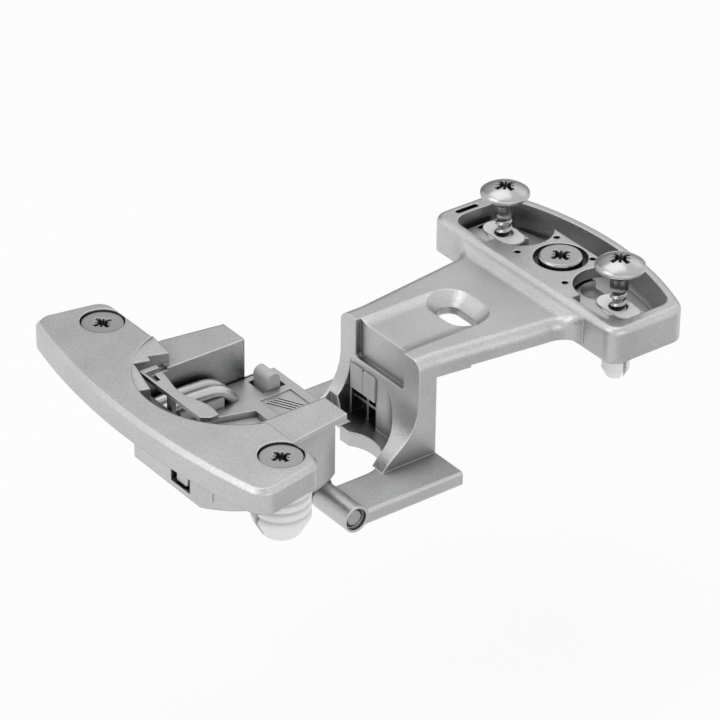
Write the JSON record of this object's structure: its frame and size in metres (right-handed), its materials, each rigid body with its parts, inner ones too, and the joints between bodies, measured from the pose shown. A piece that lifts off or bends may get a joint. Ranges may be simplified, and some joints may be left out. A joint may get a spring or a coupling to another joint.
{
  "type": "concealed cup hinge",
  "caption": "Cranked single-pivot cup hinge with crescent flange cup, barbed dowels and a frame-shaped mounting plate with system screws, shown half open.",
  "frame": {"origin": "midway between the two system screws, on the mounting plane", "axes": "+X from the cup to the mounting frame, +Y along the pivot pin, +Z away from the mounting face"},
  "size_m": [0.1054, 0.0674, 0.0322],
  "materials": {
    "nickel_casting": "fine blasted satin nickel plating",
    "nickel_inner": "satin nickel plating",
    "steel_screw": "bright nickel plated steel",
    "steel_pin": "bright steel",
    "spring_steel": "smooth plated spring steel",
    "clear_plastic": "milky natural plastic",
    "grey_plastic": "smooth grey plastic"
  },
  "bodies": {
    "base": {"base_plate": "nickel_inner", "plate_dowel_far": "clear_plastic", "plate_dowel_near": "clear_plastic"},
    "arm": {"hinge_arm": "nickel_casting", "pivot_pin": "steel_pin", "guide_pad_near": "grey_plastic", "guide_pad_far": "grey_plastic"},
    "cam": {"adjusting_cam": "steel_screw"},
    "screw_far": {"system_screw_far": "steel_screw"},
    "screw_near": {"system_screw_near": "steel_screw"},
    "cup": {"cup_housing": "nickel_casting", "wing_screw_far": "steel_screw", "wing_screw_near": "steel_screw", "wing_dowel_far": "clear_plastic", "wing_dowel_near": "clear_plastic", "channel_plate": "nickel_inner", "closing_spring": "spring_steel", "spring_guide": "grey_plastic", "spring_axle": "steel_pin", "spring_bracket": "nickel_inner", "damper_body": "grey_plastic", "bottom_cap": "clear_plastic", "catch_tab": "nickel_inner"},
    "slider": {"damping_slider": "grey_plastic"}
  },
  "joints": [
    {"name": "cup_hinge", "type": "hinge", "parent": "arm", "child": "cup", "pos_m": [-0.059, 0, -0.0157], "axis": [0, 1, 0], "range_deg": [-180, 90]},
    {"name": "height_slide", "type": "slide", "parent": "base", "child": "arm", "axis": [0, 1, 0], "range_m": [-0.0008, 0.0008]},
    {"name": "cam_turn", "type": "hinge", "parent": "base", "child": "cam", "pos_m": [0, 0, 0.005], "axis": [0, 0, 1], "range_deg": [-60, 60]},
    {"name": "damping_slide", "type": "slide", "parent": "cup", "child": "slider", "axis": [1, 0, 0], "range_m": [-0.0009, 0.0009]},
    {"name": "screw_far_drive", "type": "slide", "parent": "base", "child": "screw_far", "axis": [0, 0, 1], "range_m": [-0.0066, 0]},
    {"name": "screw_near_drive", "type": "slide", "parent": "base", "child": "screw_near", "axis": [0, 0, 1], "range_m": [-0.0066, 0]}
  ],
  "couplings": [
    {"joint": "cam_turn", "follows": "height_slide", "rad_per_m": 1308.8}
  ]
}
